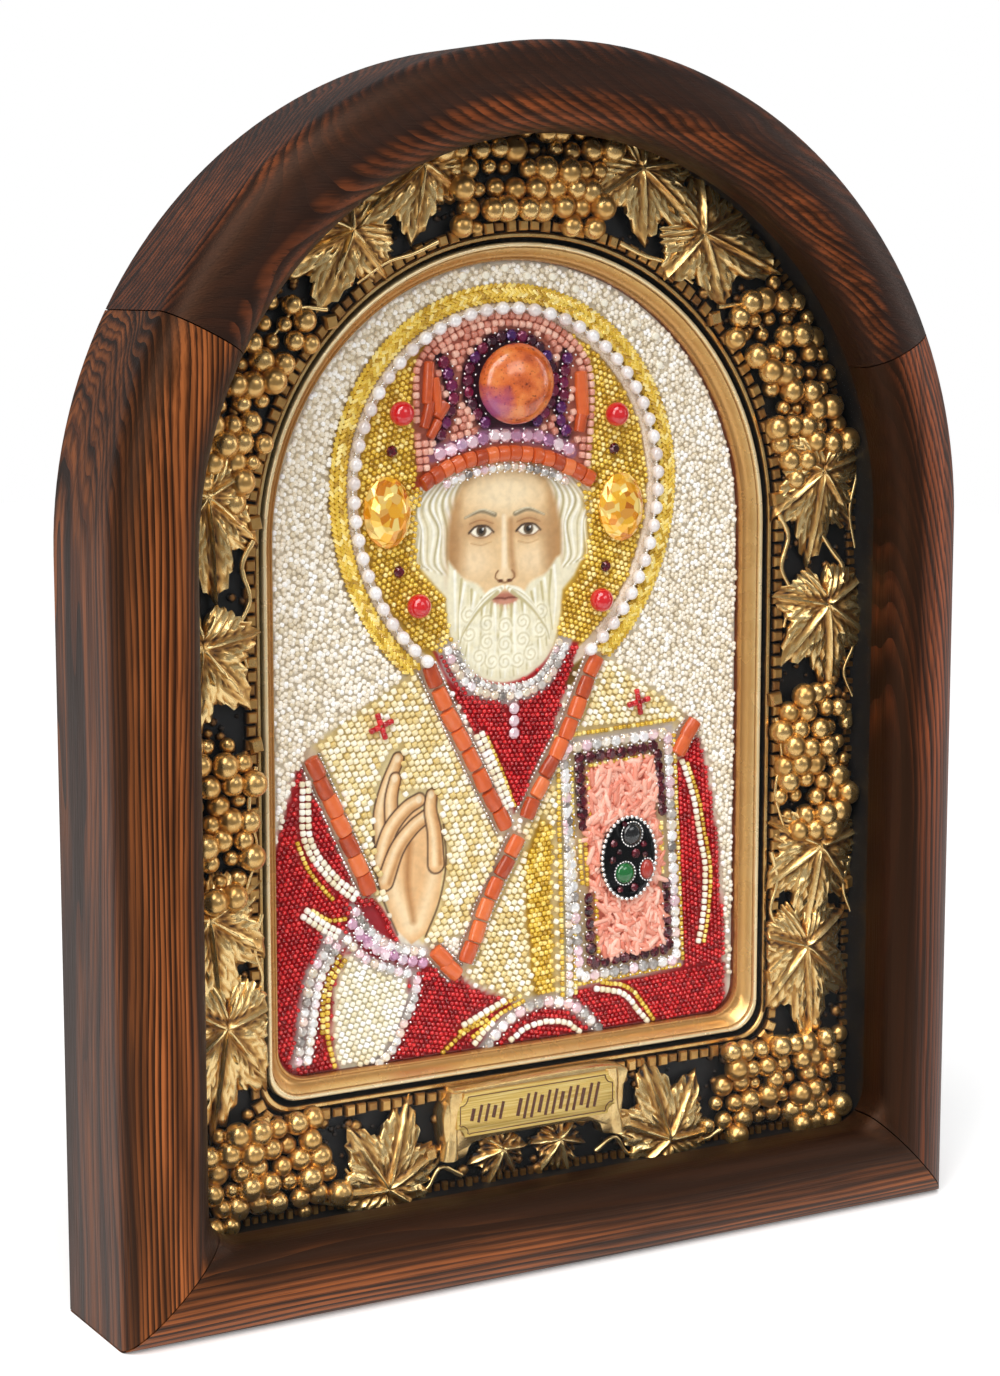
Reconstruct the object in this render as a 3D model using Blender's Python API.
"""Arched icon: a moulded wooden frame, a glass pane, a cast vine border, a gilt slip and a beaded picture.

The frame stands on its bottom rail and faces -Y. The origin is the middle of the
underside. "Front" is a distance in front of the rear face of the back board, and an
"offset" is a distance in from the outer edge of the frame. Metres throughout.
"""

import math

import bmesh
import bpy
from mathutils import Vector

GAP = 0.0003

# Wooden frame
FRAME_WIDTH = 0.240
SPRING_HEIGHT = 0.1836
SIDE_DEPTH = 0.0330
CROWN_FRONT = 0.0415
CROWN_OFFSET = 0.0140
LIP_OFFSET = 0.0218
LIP_FRONT = 0.0340
LIP_CORNER_RADIUS = 0.010
REBATE_OFFSET = 0.0160
LEFT_JOINT_ANGLE = math.radians(28.0)
RIGHT_JOINT_ANGLE = math.radians(24.5)
ARCH_STEP = math.radians(6.0)
INSIDE_STEP = math.radians(9.0)

# Back board
BACK_THICKNESS = 0.0016
BACK_MARGIN = 0.0012
BACK_BOTTOM = 0.0040

# Glass
GLASS_THICKNESS = 0.0020
GLASS_FRONT = 0.0283
GLASS_CORNER_RADIUS = 0.0030

# Cast vine border
BORDER_RIM_WIDTH = 0.0016
BORDER_INNER_OFFSET = 0.0463
BORDER_INNER_RIM = 0.0009
BORDER_GROUND_FRONT = 0.0145
BORDER_WEB = 0.0020
BORDER_CORNER_RADIUS = 0.0100
LEAF_HEIGHT = 0.0062
GRAPE_RADIUS = 0.0034
GRAPE_PITCH = 0.0079
GRAPE_CORNER_GAP = 0.0120
ROOT = 0.0008

# Name plate on the scroll
SCROLL_WIDTH = 0.0560
SCROLL_HEIGHT = 0.0170
SCROLL_THICKNESS = 0.0060
LABEL_WIDTH = 0.0470
LABEL_HEIGHT = 0.0113
LABEL_THICKNESS = 0.0006
LABEL_CENTRE_HEIGHT = 0.0388

# Gilt slip
SLIP_OFFSET = 0.0475
SLIP_INNER_OFFSET = 0.0520
SLIP_FRONT = 0.0152
SLIP_INNER_FRONT = 0.0106
SLIP_WALL = 0.0018
SLIP_CORNER_RADIUS = 0.0080

# Picture panel: the design is drawn in units, so many to the opening's half width and to its height
PANEL_FRONT = 0.0085
UNITS_ACROSS = 68.48
UNITS_UP = 201.0
DESIGN_AXIS = -2.62
DESIGN_DROP = 0.0005
BEAD_THICKNESS = 0.0011
RAISED = 0.0008
HEM_RAISED = 0.0006
GOLD_RAISED = 0.0003
GROUND_DROP = 0.0001
HEM_WIDTH = 0.0040
FELT_DROP = 0.0004
PEARL_RADIUS = 0.0016
PEARL_PITCH = 0.0046
CORAL_WIDTH = 0.0043
CORAL_THICKNESS = 0.0026
CORAL_PITCH = 0.0058
BROW_WIDTH = 0.0021
COLLAR_WIDTH = 0.0038
CRYSTAL_THICKNESS = 0.0018
CRYSTAL_PITCH = 0.0062

# Halo, in design units
HALO_CENTRE = (0.5, 145.5)
HALO_ACROSS = 50.0
HALO_DOWN = 57.0
HALO_RIM = 4.2
HALO_FIELD = 41.2
PEARL_LINE = 44.2
PEARL_LIFT = 1.0

# Stones
CABOCHON_HEIGHT = 0.0060
CORAL_BALL_HEIGHT = 0.0052
GARNET_HEIGHT = 0.0016
AMBER_HEIGHT = 0.0042
BROOCH_HEIGHT = 0.0034

BACK_FRONT = BACK_THICKNESS + GAP
HALF_WIDTH = FRAME_WIDTH / 2
DEPTH = CROWN_FRONT
GLASS_BED = GLASS_FRONT + GAP
BORDER_OUTER_OFFSET = REBATE_OFFSET + GAP
BORDER_RIM_FRONT = GLASS_FRONT - GLASS_THICKNESS - GAP
BEAD_BASE = PANEL_FRONT + GAP
BEAD_TOP = BEAD_BASE + BEAD_THICKNESS
STONE_BASE = BEAD_TOP + GAP
OPENING_HALF_WIDTH = HALF_WIDTH - SLIP_INNER_OFFSET
OPENING_HEIGHT = HALF_WIDTH + SPRING_HEIGHT - 2 * SLIP_INNER_OFFSET
UNIT_ACROSS = OPENING_HALF_WIDTH / UNITS_ACROSS
UNIT_UP = OPENING_HEIGHT / UNITS_UP
DESIGN_BOTTOM = SLIP_INNER_OFFSET - DESIGN_DROP


def material(name, colour, roughness, metallic=0.0, alpha=1.0):
    """A Principled material with one colour."""
    finish = bpy.data.materials.new(name)
    finish.use_nodes = True
    shader = finish.node_tree.nodes["Principled BSDF"]
    shader.inputs["Base Color"].default_value = (*colour, 1.0)
    shader.inputs["Roughness"].default_value = roughness
    shader.inputs["Metallic"].default_value = metallic
    shader.inputs["Alpha"].default_value = alpha
    finish.diffuse_color = (*colour, alpha)
    return finish


def at(x, front, z):
    """World place of a point given by its front distance."""
    return Vector((x, DEPTH / 2 - front, z))


def finish_mesh(name, mesh_data, look, smooth_degrees=35.0):
    """Turn a bmesh into a named object with outward faces."""
    bmesh.ops.recalc_face_normals(mesh_data, faces=mesh_data.faces)
    mesh = bpy.data.meshes.new(name)
    mesh_data.to_mesh(mesh)
    mesh_data.free()
    mesh.materials.append(look)
    mesh.shade_smooth()
    mesh.set_sharp_from_angle(angle=math.radians(smooth_degrees))
    made = bpy.data.objects.new(name, mesh)
    bpy.context.scene.collection.objects.link(made)
    return made


def sweep(name, rings, look, closed=False, smooth_degrees=35.0):
    """Skin through equal rings of points, capped at both ends unless it closes on itself."""
    solid = bmesh.new()
    rows = [[solid.verts.new(point) for point in ring] for ring in rings]
    count = len(rows[0])
    pairs = list(zip(rows, rows[1:]))
    if closed:
        pairs.append((rows[-1], rows[0]))
    else:
        solid.faces.new(rows[0])
        solid.faces.new(list(reversed(rows[-1])))
    for first, second in pairs:
        for i in range(count):
            j = (i + 1) % count
            solid.faces.new((first[i], first[j], second[j], second[i]))
    return finish_mesh(name, solid, look, smooth_degrees)


def plate(name, outline, rear, front, look):
    """A flat plate with the given outline between two fronts."""
    solid = bmesh.new()
    bottom = [solid.verts.new(at(x, rear, z)) for x, z in outline]
    top = [solid.verts.new(at(x, front, z)) for x, z in outline]
    solid.faces.new(bottom)
    solid.faces.new(list(reversed(top)))
    for i in range(len(outline)):
        j = (i + 1) % len(outline)
        solid.faces.new((bottom[i], bottom[j], top[j], top[i]))
    return finish_mesh(name, solid, look)


# Arched outlines


def corner_rise(along, radius):
    """How far a rounded inner corner stands in at a distance along the edge."""
    if along >= radius or radius <= 0.0:
        return 0.0
    return radius - math.sqrt(radius * radius - (radius - along) ** 2)


def arch_outline(offset, corner_radius, step=ARCH_STEP, bottom=None):
    """Points of the arch at an offset, counter-clockwise from the bottom middle."""
    half = HALF_WIDTH - offset
    floor = offset if bottom is None else bottom
    points = [(0.0, floor)]
    corner_steps = 3 if corner_radius > 0.0 else 0
    for k in range(corner_steps + 1):
        turn = -math.pi / 2 + (math.pi / 2) * (k / corner_steps if corner_steps else 1.0)
        centre = (half - corner_radius, floor + corner_radius)
        points.append((centre[0] + corner_radius * math.cos(turn), centre[1] + corner_radius * math.sin(turn)))
    count = round(math.pi / step)
    for k in range(count + 1):
        turn = math.pi * k / count
        points.append((half * math.cos(turn), SPRING_HEIGHT + half * math.sin(turn)))
    left = [(-x, z) for x, z in points[1:corner_steps + 2]]
    return points + left[::-1]


def ring_sweep(name, profile, corner_radius_at, look, step=INSIDE_STEP):
    """Sweep an (offset, front) profile right round the arch."""
    outlines = [arch_outline(offset, corner_radius_at(offset), step) for offset, front in profile]
    rings = []
    for k in range(len(outlines[0])):
        spots = [(outline[k], front) for outline, (_, front) in zip(outlines, profile)]
        rings.append([at(x, front, z) for (x, z), front in spots])
    return sweep(name, rings, look, closed=True)


# Wooden frame


def frame_profile():
    """Cross-section of the moulding as (offset, front, corner radius) from the rear outer edge round."""
    points = [(0.0, BACK_FRONT, 0.0)]
    for k in range(6):
        turn = math.radians(90.0 * k / 5)
        offset = CROWN_OFFSET * (1.0 - math.cos(turn))
        points.append((offset, SIDE_DEPTH + (CROWN_FRONT - SIDE_DEPTH) * math.sin(turn), 0.0))
    fall = LIP_OFFSET - CROWN_OFFSET
    for k in range(1, 4):
        turn = math.radians(30.0 * k)
        reach = math.sin(turn)
        front = LIP_FRONT + (CROWN_FRONT - LIP_FRONT) * math.cos(turn)
        points.append((CROWN_OFFSET + fall * reach, front, LIP_CORNER_RADIUS * reach))
    points.append((LIP_OFFSET, GLASS_BED, LIP_CORNER_RADIUS))
    points.append((REBATE_OFFSET, GLASS_BED, 0.0))
    points.append((REBATE_OFFSET, BACK_FRONT, 0.0))
    return points


def mitre_distance(radius, step):
    """Distance from the corner of a profile point at one of the four corner rings."""
    start = radius * (1.0 - math.sqrt(0.5))
    return start + (LIP_CORNER_RADIUS - start) * step / 3


def stile_rings(side, joint_angle):
    """Rings of one stile from its bottom mitre to its joint with the arch head."""
    profile = frame_profile()
    rings = []
    for step in range(4):
        ring = []
        for offset, front, radius in profile:
            along = mitre_distance(radius, step)
            across = offset + corner_rise(along, radius)
            lift = GAP * math.sqrt(2.0) if step == 0 else 0.0
            ring.append(at(side * (HALF_WIDTH - across), front, offset + along + lift))
        rings.append(ring)
    turns = max(2, round(joint_angle / ARCH_STEP))
    for k in range(turns + 1):
        turn = joint_angle * k / turns
        ring = []
        for offset, front, radius in profile:
            reach = HALF_WIDTH - offset
            ring.append(at(side * reach * math.cos(turn), front, SPRING_HEIGHT + reach * math.sin(turn)))
        rings.append(ring)
    return rings


def rail_rings():
    """Rings of the bottom rail from its left mitre to its right one."""
    profile = frame_profile()
    right = []
    for step in range(4):
        ring = []
        for offset, front, radius in profile:
            along = mitre_distance(radius, step)
            ring.append((HALF_WIDTH - offset - along, front, offset + corner_rise(along, radius)))
        right.append(ring)
    rings = [[at(-x, front, z) for x, front, z in ring] for ring in right]
    rings += [[at(x, front, z) for x, front, z in ring] for ring in reversed(right)]
    return rings


def head_rings():
    """Rings of the arch head between its two joints."""
    profile = frame_profile()
    count = round((math.pi - LEFT_JOINT_ANGLE - RIGHT_JOINT_ANGLE) / ARCH_STEP)
    rings = []
    for k in range(count + 1):
        ring = []
        for offset, front, radius in profile:
            reach = HALF_WIDTH - offset
            trim = math.asin(GAP / reach)
            first = RIGHT_JOINT_ANGLE + trim
            last = math.pi - LEFT_JOINT_ANGLE - trim
            turn = first + (last - first) * k / count
            ring.append(at(reach * math.cos(turn), front, SPRING_HEIGHT + reach * math.sin(turn)))
        rings.append(ring)
    return rings


# Cast vine border


def border_point(along, offset):
    """Place on the right half of the border, by the distance along its middle from the bottom centre."""
    middle = (BORDER_OUTER_OFFSET + BORDER_INNER_OFFSET) / 2
    half = HALF_WIDTH - middle
    reach = HALF_WIDTH - offset
    if along < half:
        return along, offset
    rise = along - half
    if rise < SPRING_HEIGHT - middle:
        return reach, middle + rise
    turn = (rise - (SPRING_HEIGHT - middle)) / half
    return reach * math.cos(turn), SPRING_HEIGHT + reach * math.sin(turn)


def inside_border(x, z, margin=0.0):
    """Pull a point back between the two rims of the border."""
    outer = HALF_WIDTH - BORDER_OUTER_OFFSET - BORDER_RIM_WIDTH / 2 - margin
    inner = HALF_WIDTH - BORDER_INNER_OFFSET + BORDER_INNER_RIM / 2 + margin
    if z > SPRING_HEIGHT:
        reach = math.hypot(x, z - SPRING_HEIGHT)
        share = min(max(reach, inner), outer) / reach
        return x * share, SPRING_HEIGHT + (z - SPRING_HEIGHT) * share
    side = math.copysign(1.0, x)
    low = HALF_WIDTH - outer
    high = HALF_WIDTH - inner
    if abs(x) < inner:
        if z - high < inner - abs(x):
            return x, min(max(z, low), high)
        return side * inner, z
    return side * min(abs(x), outer), max(z, low)


def border_profile():
    """Channel section of the casting as (offset, front), from the rear of its outer wall round."""
    outer_rim = BORDER_OUTER_OFFSET + BORDER_RIM_WIDTH
    inner_rim = BORDER_INNER_OFFSET - BORDER_INNER_RIM
    web_back = BORDER_GROUND_FRONT - BORDER_WEB
    return [
        (BORDER_OUTER_OFFSET, BACK_FRONT),
        (BORDER_OUTER_OFFSET, BORDER_RIM_FRONT),
        (outer_rim, BORDER_RIM_FRONT),
        (outer_rim + BORDER_INNER_RIM, BORDER_GROUND_FRONT),
        (inner_rim - BORDER_INNER_RIM, BORDER_GROUND_FRONT),
        (inner_rim, SLIP_FRONT + BORDER_INNER_RIM / 2),
        (BORDER_INNER_OFFSET, SLIP_FRONT + BORDER_INNER_RIM / 2),
        (BORDER_INNER_OFFSET, BACK_FRONT),
        (BORDER_INNER_OFFSET - BORDER_RIM_WIDTH, BACK_FRONT),
        (BORDER_INNER_OFFSET - BORDER_RIM_WIDTH, web_back),
        (outer_rim, web_back),
        (outer_rim, BACK_FRONT),
    ]


def leaf_outline(length):
    """Outline of a five-lobed vine leaf as (angle from the tip, radius, height share)."""
    lobes = ((0.0, 1.0), (52.0, 0.92), (104.0, 0.74))
    half = []
    for index, (angle, share) in enumerate(lobes):
        if index:
            half.append((angle - 26.0, 0.52 * length, 0.45))
            half.append((angle - 13.0, 0.84 * share * length, 0.75))
        half.append((angle, share * length, 0.95))
        half.append((angle + 13.0, 0.84 * share * length, 0.75))
    half.append((150.0, 0.42 * length, 0.55))
    left = [(-angle, radius, height) for angle, radius, height in half[1:]]
    return left[::-1] + half + [(180.0, 0.12 * length, 0.6)]


def add_leaf(solid, centre, direction, length, breadth):
    """Add a leaf whose stem end is at centre and whose tip points along direction, in degrees."""
    way = Vector((math.cos(math.radians(direction)), math.sin(math.radians(direction))))
    side = Vector((-way.y, way.x)) * breadth
    base = BORDER_GROUND_FRONT - ROOT
    top, bottom = [], []
    for angle, radius, height in leaf_outline(length):
        turn = math.radians(angle)
        place = Vector(centre) + way * (radius * math.cos(turn)) + side * (radius * math.sin(turn))
        x, z = inside_border(place.x, place.y)
        top.append(solid.verts.new(at(x, BORDER_GROUND_FRONT + LEAF_HEIGHT * height, z)))
        bottom.append(solid.verts.new(at(x, base, z)))
    middle = solid.verts.new(at(centre[0], BORDER_GROUND_FRONT + LEAF_HEIGHT * 0.8, centre[1]))
    floor = solid.verts.new(at(centre[0], base, centre[1]))
    for i in range(len(top)):
        j = (i + 1) % len(top)
        solid.faces.new((top[i], top[j], middle))
        solid.faces.new((bottom[j], bottom[i], floor))
        solid.faces.new((bottom[i], bottom[j], top[j], top[i]))


def add_grape(solid, centre, radius, lift, turn):
    """Add one grape, a faceted ball rooted in the ground."""
    sides = 5
    centre = inside_border(centre[0], centre[1], radius)
    rings = ((-ROOT / radius, 0.96), (lift + 0.35, 0.96))
    rows = []
    for height, width in rings:
        row = []
        for k in range(sides):
            angle = turn + 2.0 * math.pi * k / sides
            x = centre[0] + radius * width * math.cos(angle)
            z = centre[1] + radius * width * math.sin(angle)
            row.append(solid.verts.new(at(x, BORDER_GROUND_FRONT + radius * height, z)))
        rows.append(row)
    crest = solid.verts.new(at(centre[0], BORDER_GROUND_FRONT + radius * (lift + 1.05), centre[1]))
    solid.faces.new(rows[0])
    for lower, upper in zip(rows, rows[1:]):
        for i in range(sides):
            j = (i + 1) % sides
            solid.faces.new((lower[i], lower[j], upper[j], upper[i]))
    for i in range(sides):
        solid.faces.new((rows[-1][i], rows[-1][(i + 1) % sides], crest))


def border_parts():
    """Half width of the border's middle line, and the distances along it to the column and to the arch."""
    middle = (BORDER_OUTER_OFFSET + BORDER_INNER_OFFSET) / 2
    half = HALF_WIDTH - middle
    return half, half - middle, half + SPRING_HEIGHT - middle


def leaf_places():
    """Leaves of the right half as (stem end, direction in degrees, length, breadth)."""
    half, column, crown = border_parts()
    arc = half * math.pi / 2
    rail = [(0.068, 0.41, -70.0, 0.0110, 0.90), (0.350, 0.86, -50.0, 0.0250, 0.70)]
    upright = [(0.351, 0.57, -80.0, 0.0245, 0.82), (0.488, 0.41, -117.0, 0.0190, 0.86)]
    upright.append((0.874, 0.46, -100.0, 0.0230, 0.82))
    arch = [(0.082, 0.51, -88.0, 0.0230, 0.80), (0.585, 0.59, -2.0, 0.0235, 0.70)]
    arch.append((0.786, 0.29, -52.0, 0.0225, 0.74))
    leaves = []
    for start, length, rows in ((0.0, half, rail), (column, SPRING_HEIGHT, upright), (crown, arc, arch)):
        for along, across, direction, size, breadth in rows:
            offset = BORDER_OUTER_OFFSET + across * (BORDER_INNER_OFFSET - BORDER_OUTER_OFFSET)
            leaves.append((border_point(start + along * length, offset), direction, size, breadth))
    return leaves


def bunch_places():
    """Grape centres of the right half, in rows across the border."""
    centres = []
    middle = (BORDER_OUTER_OFFSET + BORDER_INNER_OFFSET) / 2
    half, column, crown = border_parts()
    starts = (column + 0.528 * SPRING_HEIGHT, crown + 0.122 * half * math.pi / 2)
    for start, rows in zip(starts, ((2, 3, 3, 4, 3), (2, 3, 3, 4, 3, 3))):
        for row, count in enumerate(rows):
            for k in range(count):
                offset = middle + GRAPE_PITCH * (k - (count - 1) / 2)
                centres.append(border_point(start + GRAPE_PITCH * 1.02 * row, offset))
    first = HALF_WIDTH - BORDER_OUTER_OFFSET - GRAPE_CORNER_GAP
    for row, count in enumerate((5, 4, 3)):
        for k in range(count):
            along = first - GRAPE_PITCH * (k + 0.5 * row)
            centres.append(border_point(along, BORDER_OUTER_OFFSET + GRAPE_PITCH * (row + 1)))
    return centres


def crest_grapes():
    """Grape centres of the bunch over the top of the arch."""
    middle = (BORDER_OUTER_OFFSET + BORDER_INNER_OFFSET) / 2
    half = HALF_WIDTH - middle
    centres = []
    for row, count in enumerate((5, 6, 5)):
        reach = half + GRAPE_PITCH * (row - 1)
        for k in range(count):
            turn = math.pi / 2 + (k - (count - 1) / 2) * GRAPE_PITCH * 1.04 / half
            centres.append((reach * math.cos(turn), SPRING_HEIGHT + reach * math.sin(turn)))
    return centres


def scroll_outline():
    """Outline of the scroll that carries the name plate, with flared lower ends."""
    half = SCROLL_WIDTH / 2
    top = LABEL_CENTRE_HEIGHT + SCROLL_HEIGHT * 0.40
    low = LABEL_CENTRE_HEIGHT - SCROLL_HEIGHT * 0.60
    right = [(0.0, low + 0.0012), (0.55 * half, low + 0.0010), (0.92 * half, low - 0.0022)]
    right += [(half, LABEL_CENTRE_HEIGHT), (0.88 * half, top)]
    left = [(-x, z) for x, z in right[1:]]
    return right + left[::-1]


def build_vine_border(look):
    """The casting in one piece: channel ring, leaves, grapes and scroll."""
    def corner(offset):
        return max(0.0012, BORDER_CORNER_RADIUS - (offset - BORDER_OUTER_OFFSET) * 0.1)

    border = ring_sweep("vine_border", border_profile(), corner, look)
    relief = bmesh.new()
    for (x, z), direction, length, breadth in leaf_places():
        add_leaf(relief, (x, z), direction, length, breadth)
        add_leaf(relief, (-x, z), 180.0 - direction, length, breadth)
    grapes = bunch_places()
    grapes += [(-x, z) for x, z in grapes]
    grapes += crest_grapes()
    for index, centre in enumerate(grapes):
        lift = 0.18 + 0.17 * ((index * 7) % 5) / 4
        add_grape(relief, centre, GRAPE_RADIUS * (1.0 + 0.05 * ((index * 3) % 4)), lift, 0.37 * index)
    outline = scroll_outline()
    low = [relief.verts.new(at(x, BORDER_GROUND_FRONT - ROOT, z)) for x, z in outline]
    high = [relief.verts.new(at(x, BORDER_GROUND_FRONT + SCROLL_THICKNESS, z)) for x, z in outline]
    relief.faces.new(low)
    relief.faces.new(high)
    for i in range(len(outline)):
        j = (i + 1) % len(outline)
        relief.faces.new((low[i], low[j], high[j], high[i]))
    cutter = finish_mesh("vine_relief", relief, look)
    cutter.hide_render = True
    cutter.display_type = "WIRE"
    join = border.modifiers.new("relief", "BOOLEAN")
    join.operation = "UNION"
    join.object = cutter
    join.use_self = True
    return border


def label_outline():
    """Outline of the name plate with clipped, hollowed corners."""
    half, rise, clip = LABEL_WIDTH / 2, LABEL_HEIGHT / 2, LABEL_HEIGHT * 0.16
    quarter = [(half, rise - 2 * clip), (half - clip * 0.9, rise - clip * 1.1), (half - 2 * clip, rise)]
    points = list(quarter)
    points += [(-x, z) for x, z in reversed(quarter)]
    points += [(-x, -z) for x, z in quarter]
    points += [(x, -z) for x, z in reversed(quarter)]
    return [(x, z + LABEL_CENTRE_HEIGHT) for x, z in points]


# Slip


def slip_profile():
    """Section of the slip: bead, cove, inner fillet and a rebate for the panel."""
    rise = SLIP_FRONT - SLIP_INNER_FRONT
    width = SLIP_INNER_OFFSET - SLIP_OFFSET
    points = [(SLIP_OFFSET, BACK_FRONT), (SLIP_OFFSET, SLIP_FRONT - 0.1 * rise)]
    points.append((SLIP_OFFSET + 0.12 * width, SLIP_FRONT))
    points.append((SLIP_OFFSET + 0.25 * width, SLIP_FRONT - 0.08 * rise))
    points.append((SLIP_OFFSET + 0.32 * width, SLIP_FRONT - 0.30 * rise))
    points.append((SLIP_OFFSET + 0.55 * width, SLIP_FRONT - 0.72 * rise))
    points.append((SLIP_OFFSET + 0.80 * width, SLIP_FRONT - 0.82 * rise))
    points.append((SLIP_INNER_OFFSET, SLIP_INNER_FRONT))
    points.append((SLIP_INNER_OFFSET, PANEL_FRONT + GAP))
    points.append((SLIP_OFFSET + SLIP_WALL, PANEL_FRONT + GAP))
    points.append((SLIP_OFFSET + SLIP_WALL, BACK_FRONT))
    return points


# Picture


def design(points):
    """Places on the panel of points given in design units from the picture's axis and foot."""
    return [((DESIGN_AXIS + x) * UNIT_ACROSS, DESIGN_BOTTOM + z * UNIT_UP) for x, z in points]


def oval(centre, across, up, down, count, start=0.0, stop=360.0):
    """Points of an oval whose lower half may be longer than its upper half."""
    points = []
    whole = abs(stop - start) > 359.0
    steps = count if whole else count - 1
    for k in range(count):
        turn = math.radians(start + (stop - start) * k / steps)
        rise = up if math.sin(turn) >= 0.0 else down
        points.append((centre[0] + across * math.cos(turn), centre[1] + rise * math.sin(turn)))
    return points


def grow(points, margin):
    """Move an outline outward by a margin, or inward by a negative one."""
    area = 0.0
    for (ax, az), (bx, bz) in zip(points, points[1:] + points[:1]):
        area += ax * bz - bx * az
    way = 1.0 if area > 0.0 else -1.0
    moved = []
    for i, (x, z) in enumerate(points):
        px, pz = points[i - 1]
        nx, nz = points[(i + 1) % len(points)]
        first = Vector((x - px, z - pz)).normalized()
        second = Vector((nx - x, nz - z)).normalized()
        normal = Vector((first.y + second.y, -first.x - second.x)) * way
        if normal.length < 1e-9:
            normal = Vector((first.y, -first.x)) * way
        normal.normalize()
        spread = max(0.45, normal.dot(Vector((first.y, -first.x)) * way))
        moved.append((x + normal.x * margin / spread, z + normal.y * margin / spread))
    return moved


def beside(points, distance):
    """A line running beside another, to its right."""
    moved = []
    for i, (x, z) in enumerate(points):
        px, pz = points[max(0, i - 1)]
        nx, nz = points[min(len(points) - 1, i + 1)]
        way = Vector((nx - px, nz - pz)).normalized()
        moved.append((x + way.y * distance, z - way.x * distance))
    return moved


def strip_outline(points, width):
    """Outline of a band of even width along a line."""
    sides = ([], [])
    for i, (x, z) in enumerate(points):
        px, pz = points[max(0, i - 1)]
        nx, nz = points[min(len(points) - 1, i + 1)]
        way = Vector((nx - px, nz - pz)).normalized()
        sides[0].append((x - way.y * width / 2, z + way.x * width / 2))
        sides[1].append((x + way.y * width / 2, z - way.x * width / 2))
    return sides[0] + sides[1][::-1]


def main_body(mesh_object):
    """Keep only the largest body of an object, dropping the scraps that a cut leaves."""
    graph = bpy.context.evaluated_depsgraph_get()
    solid = bmesh.new()
    solid.from_mesh(mesh_object.evaluated_get(graph).to_mesh())
    unseen = set(solid.verts)
    bodies = []
    while unseen:
        stack = [unseen.pop()]
        body = set(stack)
        while stack:
            for edge in stack.pop().link_edges:
                for vert in edge.verts:
                    if vert in unseen:
                        unseen.discard(vert)
                        body.add(vert)
                        stack.append(vert)
        bodies.append(body)

    def size(body):
        faces = {face for vert in body for face in vert.link_faces}
        return sum(face.calc_area() for face in faces)

    bodies.sort(key=size)
    for body in bodies[:-1]:
        bmesh.ops.delete(solid, geom=list(body), context="VERTS")
    bmesh.ops.dissolve_limit(solid, angle_limit=math.radians(0.5), verts=solid.verts, edges=solid.edges)
    mesh_object.modifiers.clear()
    solid.to_mesh(mesh_object.data)
    solid.free()


class Mosaic:
    """Bead fields laid side by side: each is trimmed to the slip and cut clear of the ones before it."""

    def __init__(self):
        self.cuts = []

    def trim(self, made, name, outline, operation, look):
        """Cut a field with a tall plate of the given outline."""
        label = f"{name}_{operation.lower()}_{len(self.cuts)}"
        cutter = plate(label, outline, BACK_FRONT, BORDER_RIM_FRONT, look)
        taker = made.modifiers.new(cutter.name, "BOOLEAN")
        taker.operation = operation
        taker.object = cutter
        return cutter

    def reserve(self, outline):
        """Keep an outline clear of the fields that follow."""
        self.cuts.append(outline)

    def field(self, name, outline, top, look):
        """Add a field of beads with the given outline."""
        made = plate(name, outline, BEAD_BASE, top, look)
        low = Vector((min(x for x, z in outline), min(z for x, z in outline)))
        high = Vector((max(x for x, z in outline), max(z for x, z in outline)))
        opening = arch_outline(SLIP_INNER_OFFSET + GAP, SLIP_CORNER_RADIUS, INSIDE_STEP)
        cutters = [self.trim(made, name, opening, "INTERSECT", look)]
        for cut in self.cuts:
            if max(x for x, z in cut) < low.x or min(x for x, z in cut) > high.x:
                continue
            if max(z for x, z in cut) < low.y or min(z for x, z in cut) > high.y:
                continue
            cutters.append(self.trim(made, name, grow(cut, GAP), "DIFFERENCE", look))
        main_body(made)
        for cutter in cutters:
            bpy.data.objects.remove(cutter)
        self.reserve(outline)
        return made


def bumpy_strip(name, line, width, thickness, pitch, look):
    """A row of touching chips or crystals along a line, fused end to end."""
    places = [Vector(point) for point in line]
    lengths = [(b - a).length for a, b in zip(places, places[1:])]
    total = sum(lengths)
    count = max(1, round(total / pitch))
    stations = []
    for k in range(count):
        stations.append((total * k / count, 0.80 if k else 1.0, 0.55 if k else 1.0))
        stations.append((total * (k + 0.22) / count, 1.0, 1.0))
        stations.append((total * (k + 0.78) / count, 1.0, 1.0))
    stations.append((total, 1.0, 1.0))
    rings = []
    for distance, wide, tall in stations:
        index = 0
        run = distance
        while index < len(lengths) - 1 and run > lengths[index]:
            run -= lengths[index]
            index += 1
        way = (places[index + 1] - places[index]).normalized()
        centre = places[index] + way * run
        side = Vector((-way.y, way.x)) * (width / 2 * wide)
        rise = thickness * tall
        ring = []
        for across, height in ((-1.0, 0.0), (-0.62, 0.94), (0.62, 0.94), (1.0, 0.0)):
            spot = centre + side * across
            ring.append(at(spot.x, BEAD_BASE + rise * height, spot.y))
        rings.append(ring)
    return sweep(name, rings, look)


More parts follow.
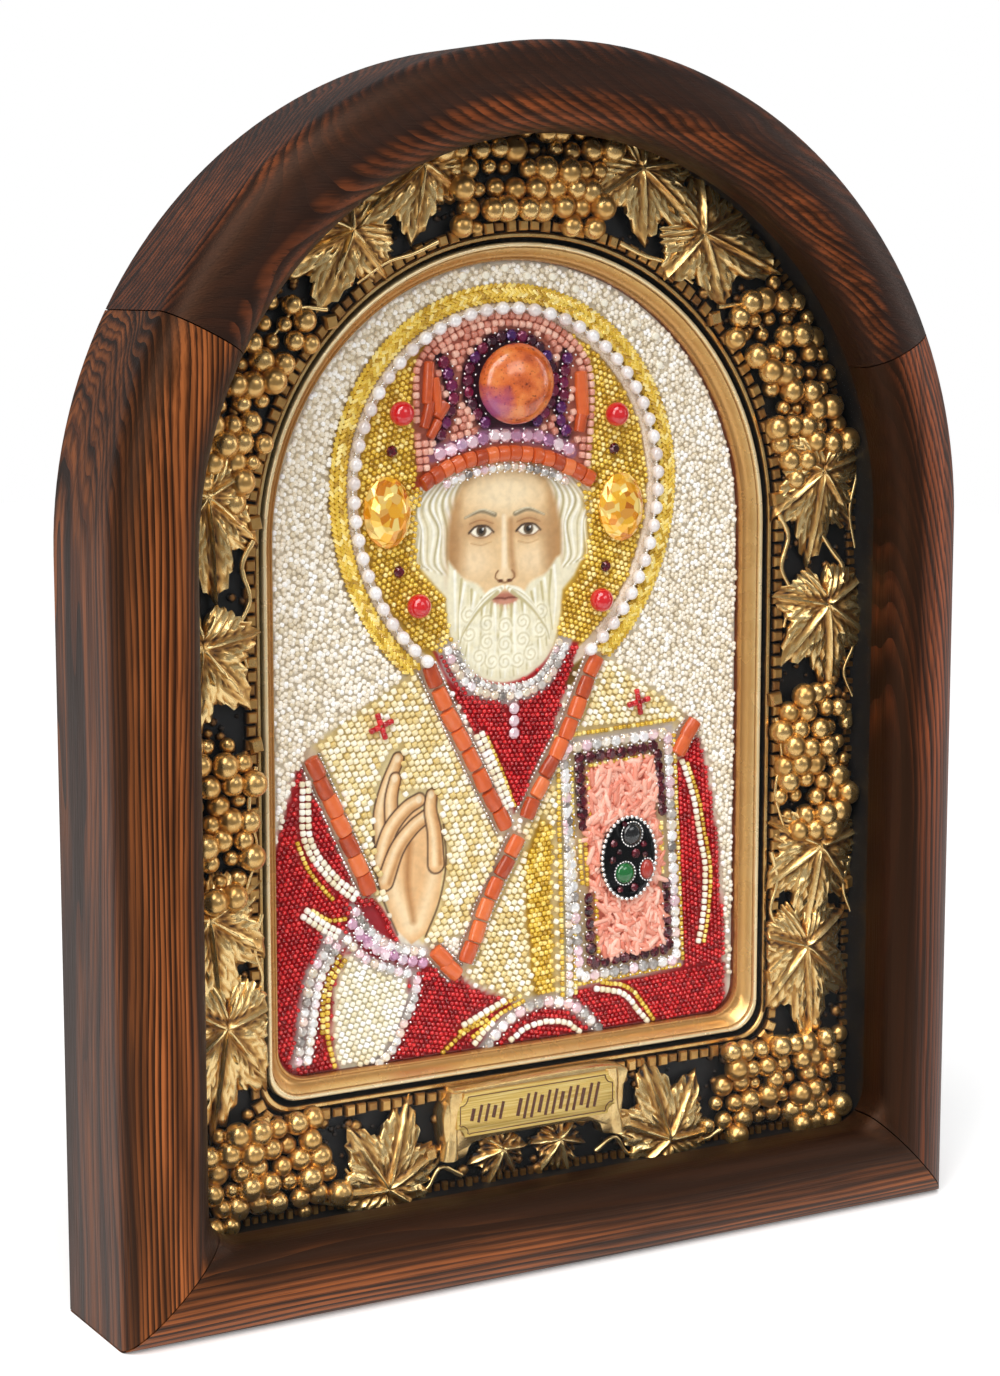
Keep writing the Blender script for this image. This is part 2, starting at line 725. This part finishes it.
def stone(name, centre, across, up, height, base, look, sides=12, facets=3):
    """A domed stone with a flat back, on an oval outline in design units."""
    (x0, z0), = design([centre])
    solid = bmesh.new()
    rows = []
    for k in range(facets):
        turn = math.pi / 2 * k / facets
        row = []
        for i in range(sides):
            angle = 2 * math.pi * (i + 0.5) / sides
            x = x0 + across * UNIT_ACROSS * math.cos(turn) * math.cos(angle)
            z = z0 + up * UNIT_UP * math.cos(turn) * math.sin(angle)
            row.append(solid.verts.new(at(x, base + height * math.sin(turn), z)))
        rows.append(row)
    crest = solid.verts.new(at(x0, base + height, z0))
    solid.faces.new(rows[0])
    for lower, upper in zip(rows, rows[1:]):
        for i in range(sides):
            j = (i + 1) % sides
            solid.faces.new((lower[i], lower[j], upper[j], upper[i]))
    for i in range(sides):
        solid.faces.new((rows[-1][i], rows[-1][(i + 1) % sides], crest))
    return finish_mesh(name, solid, look, 20.0)


def build_picture(looks):
    """The beaded picture: fields, strips, pearls and stones on the panel."""
    mosaic = Mosaic()
    head = [(-22, 146), (-25, 140), (-25.6, 132), (-24, 125.5), (-20, 121), (-17, 118), (-15.8, 110)]
    head += [(-12, 101), (-6, 96.6), (0, 95.2), (7, 96.6), (12.6, 101), (15.8, 109), (17.5, 118)]
    head += [(21, 121.5), (24, 127), (24.6, 136), (23, 142.5), (19.5, 147.5), (12, 150.2), (0, 151.4)]
    head += [(-12, 149.8)]
    hand = [(-38, 57.5), (-34.5, 44), (-32, 33), (-27, 29.5), (-22.5, 32), (-18.5, 41), (-17, 50), (-19, 61)]
    hand += [(-20.5, 68), (-22, 69.5), (-27, 69), (-31.5, 66.5), (-29.6, 81), (-31, 82), (-35.5, 76)]
    hand += [(-38, 68)]
    mitre = [(-24.5, 152), (-25.5, 165), (-26, 173), (-24.8, 177.5), (-20, 182.4), (-12, 186.6), (-4, 188.2)]
    mitre += [(4, 188.2), (12, 186.4), (19.5, 182), (24, 176.5), (25.6, 170), (25.4, 160), (23.8, 151)]
    band = [(-24.5, 146.4), (-19.5, 149.2), (-13, 151.6), (-6, 153), (0.5, 153.6), (7, 153), (13.5, 151.4)]
    band += [(20, 148.8), (25.5, 146)]
    brow = beside(design(band), (CORAL_WIDTH + BROW_WIDTH) / 2 + GAP)[1:-1]
    collar = [(-17.2, 105.6), (-14.6, 99.6), (-9, 94.2), (-2, 92), (4, 92), (10, 93.6), (15, 98.6)]
    collar += [(18, 104.4)]
    left_strip = [(-23, 101), (-17.4, 90), (-11.6, 78.8), (-5.6, 67.6), (0.2, 57.4)]
    right_strip = [(27, 100.6), (22.4, 90.6), (18.6, 82.4), (13, 73), (8, 64), (5.4, 59.6)]
    lower_strip = [(3.6, 55.2), (-1.6, 46), (-5.8, 38.4), (-9, 31), (-12.4, 23.6)]
    end_strip = [(-21, 28), (-18, 24.6), (-14.6, 21)]
    left_shoulder = [(-55.8, 80.6), (-50.4, 69), (-44.8, 56.6), (-39.4, 45)]
    right_shoulder = [(57.4, 80.4), (54.8, 76.8), (52.6, 73)]
    book = [(14.6, 78.6), (51.6, 80.8), (55.4, 14.4), (20.2, 13)]
    sleeve = [(-46, 30), (-40, 27.6), (-36.6, 25.6), (-28.4, 21.8), (-28.6, 16), (-30.8, 10), (-34, 4.6)]
    sleeve += [(-36.5, 0), (-48, 0), (-50, 10), (-49, 21)]
    cuff = [(-44.4, 40.6), (-38, 41.4), (-35.4, 37), (-33.6, 31.6), (-27.6, 28.4), (-22.8, 28), (-22.4, 24.6)]
    cuff += [(-26.8, 23.2), (-33.6, 25.8), (-39, 28.6), (-45, 33.4)]
    gold_band = [(11, 59.6), (14.8, 56), (14.4, 44), (15, 11), (8.8, 11), (6.8, 32), (5.6, 48)]

    coral = looks["coral"]
    crystal = looks["crystal"]
    for name, line in (
        ("omophorion_left", left_strip),
        ("omophorion_right", right_strip),
        ("omophorion_lower", lower_strip),
        ("omophorion_end", end_strip),
        ("omophorion_left_shoulder", left_shoulder),
        ("omophorion_right_shoulder", right_shoulder),
        ("mitre_band", band),
    ):
        path = design(line)
        bumpy_strip(name, path, CORAL_WIDTH, CORAL_THICKNESS, CORAL_PITCH, coral)
        mosaic.reserve(strip_outline(path, CORAL_WIDTH))
    rows = (("brow_crystals", brow, BROW_WIDTH), ("collar_crystals", design(collar), COLLAR_WIDTH))
    for name, path, width in rows:
        bumpy_strip(name, path, width, CRYSTAL_THICKNESS, CRYSTAL_PITCH, crystal)
        mosaic.reserve(strip_outline(path, width))
    mosaic.reserve(design(head))
    mosaic.reserve(design(hand))

    mosaic.field("mitre_beads", design(mitre), BEAD_TOP + RAISED, looks["salmon_beads"])
    cover = [(19.4, 74.6), (47.4, 76), (51, 18.6), (24.6, 17.6)]
    mosaic.field("book_cover", design(cover), BEAD_TOP, looks["pink_chips"])
    mosaic.field("book_border", design(book), BEAD_TOP + RAISED, crystal)
    mosaic.field("sleeve_beads", design(sleeve), BEAD_TOP, looks["white_beads"])
    mosaic.field("cuff_crystals", design(cuff), BEAD_TOP + RAISED, crystal)
    hem = design(oval((12, -7), 17, 17, 17, 9, 155, 25))
    mosaic.field("hem_crystals", strip_outline(hem, HEM_WIDTH), BEAD_TOP + HEM_RAISED, crystal)
    mosaic.field("gold_band_beads", design(gold_band), BEAD_TOP + GOLD_RAISED, looks["gold_beads"])

    neck = [(-20.6, 104.6), (-12, 88), (-6, 77), (3.4, 60), (8, 69), (14, 80), (22.4, 104), (18, 104.6)]
    neck += [(0, 95.5)]
    mosaic.field("robe_neck_beads", design(neck), BEAD_TOP, looks["red_beads"])
    cream = looks["cream_beads"]
    left_cope = [(-56, 82.6), (-45, 89), (-38, 93.4), (-31, 97), (-25, 100.6), (1, 55), (-12, 31), (-20, 29.6)]
    left_cope += [(-24, 30), (-39, 44)]
    mosaic.field("phelonion_left_beads", design(left_cope), BEAD_TOP, cream)
    right_cope = [(27.4, 101), (36, 96.6), (45, 90.4), (54, 84), (56.6, 81), (53, 79.6), (14, 78)]
    mosaic.field("phelonion_right_beads", design(right_cope), BEAD_TOP, cream)
    centre_cope = [(5, 57), (14.5, 72), (20, 13), (8, 11), (0, 12.6), (-13, 20.8)]
    mosaic.field("phelonion_centre_beads", design(centre_cope), BEAD_TOP, cream)

    red = looks["red_beads"]
    foot = 1.2
    robe_left = [(-58.9, 77.5), (-66.2, 55), (-66.2, foot), (-47, foot), (-40, 20), (-30, 30), (-38, 46)]
    robe_left += [(-56, 80)]
    mosaic.field("robe_left_beads", design(robe_left), BEAD_TOP, red)
    skirt_left = [(-37, foot), (-29, 22), (-18, 26), (-10, 17), (0, 12.5), (3, 11), (-6, foot)]
    mosaic.field("skirt_left_beads", design(skirt_left), BEAD_TOP, red)
    skirt_right = [(29, foot), (22, 9), (16, 12), (56, 14), (69, 14), (69.4, foot)]
    mosaic.field("skirt_right_beads", design(skirt_right), BEAD_TOP, red)
    robe_right = [(59.6, 77), (63.4, 65), (66.6, 45), (68.4, 25), (68.8, 13.4), (54, 13.4), (50, 73)]
    mosaic.field("robe_right_beads", design(robe_right), BEAD_TOP, red)

    build_halo(mosaic, looks)
    ground = arch_outline(SLIP_OFFSET, SLIP_CORNER_RADIUS, INSIDE_STEP)
    mosaic.field("background_beads", ground, BEAD_TOP - GROUND_DROP, looks["ivory_beads"])
    build_stones(looks)


def build_halo(mosaic, looks):
    """Halo: inner gold fields, the felt band with its pearls, and the outer gold rim."""
    lower = HALO_FIELD + HALO_DOWN - HALO_ACROSS
    left = oval(HALO_CENTRE, HALO_FIELD, HALO_FIELD, lower, 14, 104.0, 222.0)
    right = oval(HALO_CENTRE, HALO_FIELD, HALO_FIELD, lower, 14, -42.0, 76.0)
    gold = looks["gold_beads"]
    mosaic.field("halo_left_beads", design(left + [(-15.0, 103.0), (-8.0, 140.0)]), BEAD_TOP, gold)
    mosaic.field("halo_right_beads", design([(15.0, 103.0)] + right + [(8.0, 140.0)]), BEAD_TOP, gold)
    build_pearls(looks["pearl"])
    rim_inside = HALO_ACROSS - HALO_RIM
    clear = 1.5 * GAP / UNIT_ACROSS
    bands = (
        ("halo_felt_band", HALO_FIELD + clear, rim_inside - clear, BEAD_TOP - FELT_DROP, looks["felt"]),
        ("halo_rim_beads", rim_inside, HALO_ACROSS, BEAD_TOP, gold),
    )
    for name, inside, outside, top, look in bands:
        middle = (inside + outside) / 2
        line = design(oval(HALO_CENTRE, middle, middle, middle + HALO_DOWN - HALO_ACROSS, 26, -48.0, 228.0))
        mosaic.field(name, strip_outline(line, (outside - inside) * UNIT_ACROSS), top, look)


def build_pearls(look):
    """The string of pearls round the halo, lying on the felt band."""
    extra = HALO_DOWN - HALO_ACROSS
    fine = oval(HALO_CENTRE, PEARL_LINE, PEARL_LINE + PEARL_LIFT, PEARL_LINE + extra, 181, -46.0, 226.0)
    places = [Vector(point) for point in design(fine)]
    lengths = [(b - a).length for a, b in zip(places, places[1:])]
    count = round(sum(lengths) / PEARL_PITCH)
    step = sum(lengths) / count
    base = BEAD_TOP - FELT_DROP + GAP

    def spot(distance):
        run = distance
        for index, length in enumerate(lengths):
            if run <= length:
                break
            run -= length
        way = (places[index + 1] - places[index]).normalized()
        return places[index] + way * run, Vector((-way.y, way.x))

    rings = []
    for k in range(count):
        for share, size in ((0.04, 0.30), (0.52, 1.0)):
            centre, side = spot(step * (k + share))
            reach = PEARL_RADIUS * size
            lift = base + PEARL_RADIUS
            ring = []
            for across, height in ((-1.0, 0.0), (0.0, 1.0), (1.0, 0.0), (0.0, -1.0)):
                place = centre + side * (reach * across)
                ring.append(at(place.x, lift + reach * height, place.y))
            rings.append(ring)
    sweep("pearl_string", rings, look, smooth_degrees=80.0)


def build_stones(looks):
    """Cabochon, coral balls, garnets, amber ovals and the brooch on the book."""
    agate = looks["cabochon"]
    stone("mitre_cabochon", (1.6, 171.0), 10.4, 10.3, CABOCHON_HEIGHT, STONE_BASE + RAISED, agate, 16, 4)
    balls = ((-31.2, 164.3), (31.2, 162.7), (-26.6, 116.6), (26.8, 115.2))
    for index, centre in enumerate(balls):
        name = f"coral_ball_{index + 1}"
        stone(name, centre, 3.1, 3.1, CORAL_BALL_HEIGHT, STONE_BASE, looks["red_coral"], 10, 3)
    garnets = ((-33.0, 155.0), (31.6, 153.8), (-31.2, 125.2), (29.2, 123.6))
    for index, centre in enumerate(garnets):
        stone(f"garnet_{index + 1}", centre, 1.5, 1.5, GARNET_HEIGHT, STONE_BASE, looks["garnet"], 6, 2)
    for name, centre in (("amber_left", (-34.4, 140.0)), ("amber_right", (33.8, 138.8))):
        stone(name, centre, 6.4, 8.8, AMBER_HEIGHT, STONE_BASE, looks["amber"], 12, 3)
    stone("book_brooch", (36.4, 46.4), 8.4, 11.0, BROOCH_HEIGHT, STONE_BASE, looks["silver"], 16, 3)


def clear_scene():
    """Start from an empty scene."""
    for item in list(bpy.data.objects):
        bpy.data.objects.remove(item)


def build():
    """Make every piece."""
    looks = {
        "wood": material("scorched_pine", (0.115, 0.045, 0.018), 0.38),
        "back": material("hardboard", (0.030, 0.020, 0.014), 0.7),
        "glass": material("window_glass", (0.9, 0.95, 0.93), 0.03, 0.0, 0.12),
        "vine": material("antique_gold", (0.48, 0.29, 0.10), 0.34, 0.9),
        "label": material("brass_plate", (0.80, 0.55, 0.18), 0.3, 0.9),
        "slip": material("gilt_slip", (0.56, 0.33, 0.10), 0.3, 0.8),
        "canvas": material("printed_canvas", (0.80, 0.68, 0.48), 0.7),
        "salmon_beads": material("salmon_beads", (0.72, 0.24, 0.17), 0.3),
        "pink_chips": material("pink_chips", (0.80, 0.33, 0.22), 0.35),
        "white_beads": material("white_beads", (0.88, 0.84, 0.72), 0.25),
        "cream_beads": material("cream_beads", (0.80, 0.66, 0.38), 0.22),
        "ivory_beads": material("ivory_beads", (0.78, 0.70, 0.56), 0.25),
        "red_beads": material("red_beads", (0.42, 0.004, 0.006), 0.2),
        "gold_beads": material("gold_beads", (0.62, 0.40, 0.08), 0.25, 0.7),
        "felt": material("felt_band", (0.80, 0.62, 0.52), 0.9),
        "pearl": material("pearl", (0.86, 0.80, 0.76), 0.2),
        "coral": material("coral", (0.66, 0.14, 0.04), 0.35),
        "crystal": material("crystal", (0.70, 0.66, 0.64), 0.1),
        "cabochon": material("agate", (0.76, 0.20, 0.09), 0.15),
        "red_coral": material("red_coral", (0.60, 0.01, 0.01), 0.12),
        "garnet": material("garnet", (0.10, 0.003, 0.01), 0.08),
        "amber": material("amber_crystal", (0.75, 0.30, 0.01), 0.08),
        "silver": material("oxidised_silver", (0.10, 0.10, 0.10), 0.35, 0.8),
    }
    wood = looks["wood"]
    sweep("right_stile", stile_rings(1.0, RIGHT_JOINT_ANGLE), wood)
    sweep("left_stile", stile_rings(-1.0, LEFT_JOINT_ANGLE), wood)
    sweep("bottom_rail", rail_rings(), wood)
    sweep("arch_head", head_rings(), wood)
    plate("back_board", arch_outline(BACK_MARGIN, 0.0, bottom=BACK_BOTTOM), 0.0, BACK_THICKNESS, looks["back"])
    pane = arch_outline(REBATE_OFFSET + GAP, GLASS_CORNER_RADIUS, INSIDE_STEP)
    plate("glass_pane", pane, GLASS_FRONT - GLASS_THICKNESS, GLASS_FRONT, looks["glass"])
    build_vine_border(looks["vine"])
    label_front = BORDER_GROUND_FRONT + SCROLL_THICKNESS + GAP
    plate("name_label", label_outline(), label_front, label_front + LABEL_THICKNESS, looks["label"])
    ring_sweep("inner_slip", slip_profile(), lambda offset: SLIP_CORNER_RADIUS, looks["slip"])
    panel = arch_outline(SLIP_OFFSET + SLIP_WALL + GAP, SLIP_CORNER_RADIUS, INSIDE_STEP)
    plate("icon_panel", panel, BACK_FRONT, PANEL_FRONT, looks["canvas"])
    build_picture(looks)


clear_scene()
build()
